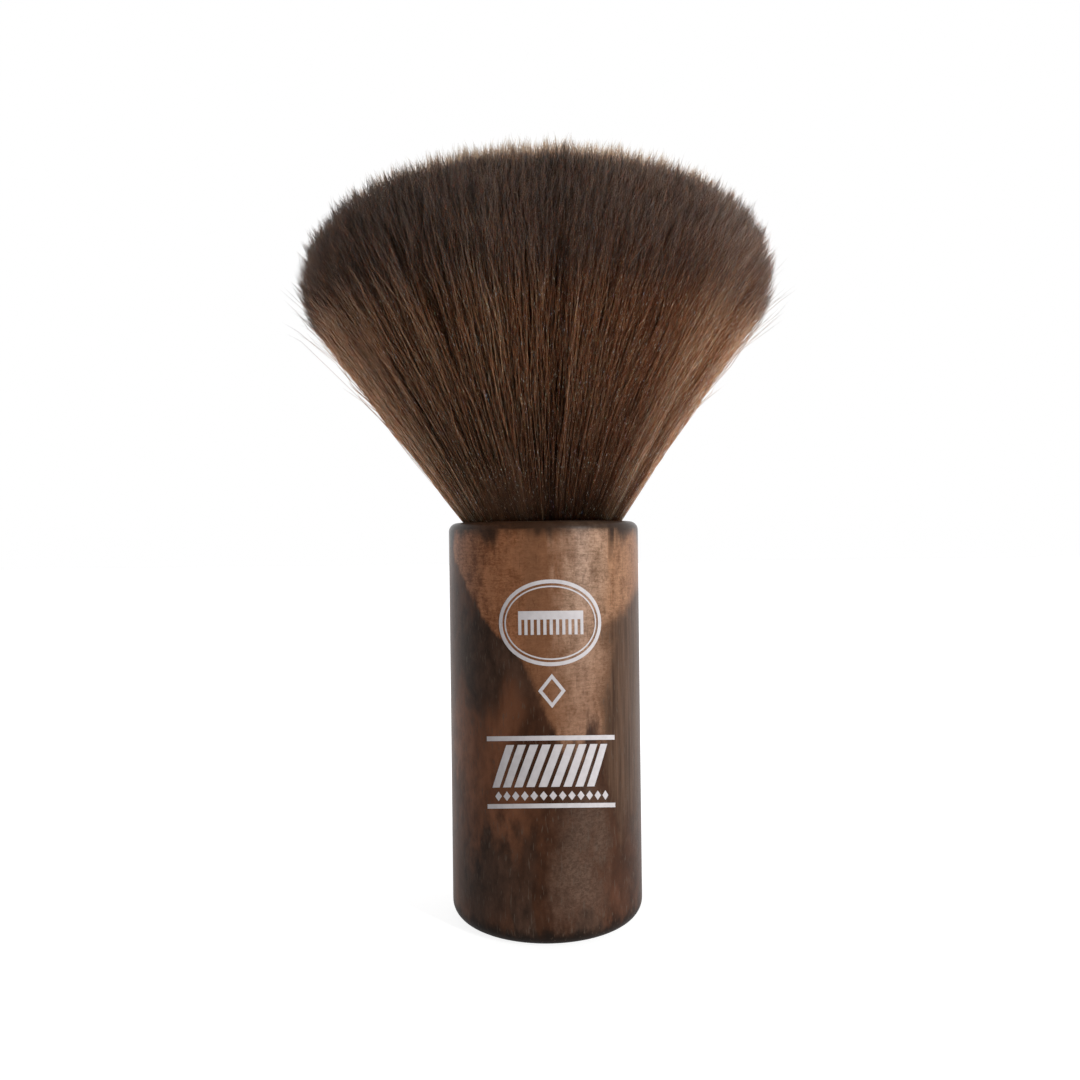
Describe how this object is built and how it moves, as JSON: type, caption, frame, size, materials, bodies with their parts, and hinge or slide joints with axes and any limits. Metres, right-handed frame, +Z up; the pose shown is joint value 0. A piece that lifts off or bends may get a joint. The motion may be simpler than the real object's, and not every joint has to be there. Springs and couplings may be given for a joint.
{
  "type": "neck duster brush",
  "caption": "Barber's neck duster brush: a short turned wooden barrel with a wide, flared head of fine soft fibres potted in its top.",
  "frame": {"origin": "centre of the flat base, on the surface that the brush stands on", "axes": "+Z up along the barrel's axis towards the fibres; the printed front of the barrel faces -Y"},
  "size_m": [0.106, 0.106, 0.169],
  "materials": {
    "wood": "satin",
    "adhesive": "satin",
    "cup": "satin",
    "resin": "gloss",
    "cord": "matte",
    "bristle": "satin",
    "ink": "matte"
  },
  "bodies": {
    "root": {"handle": "wood", "glue_bed": "adhesive", "knot_cup": "cup", "resin_plug": "resin", "binding_cord": "cord", "bristle_core": "bristle", "bristle_hank_1": "bristle", "bristle_hank_2": "bristle", "bristle_hank_3": "bristle", "bristle_hank_4": "bristle", "bristle_hank_5": "bristle", "bristle_hank_6": "bristle", "print_badge_ring": "ink", "print_comb": "ink", "print_diamond": "ink", "print_rule_upper": "ink", "print_pole_stripes": "ink", "print_bead_line": "ink", "print_rule_lower": "ink"}
  },
  "joints": []
}
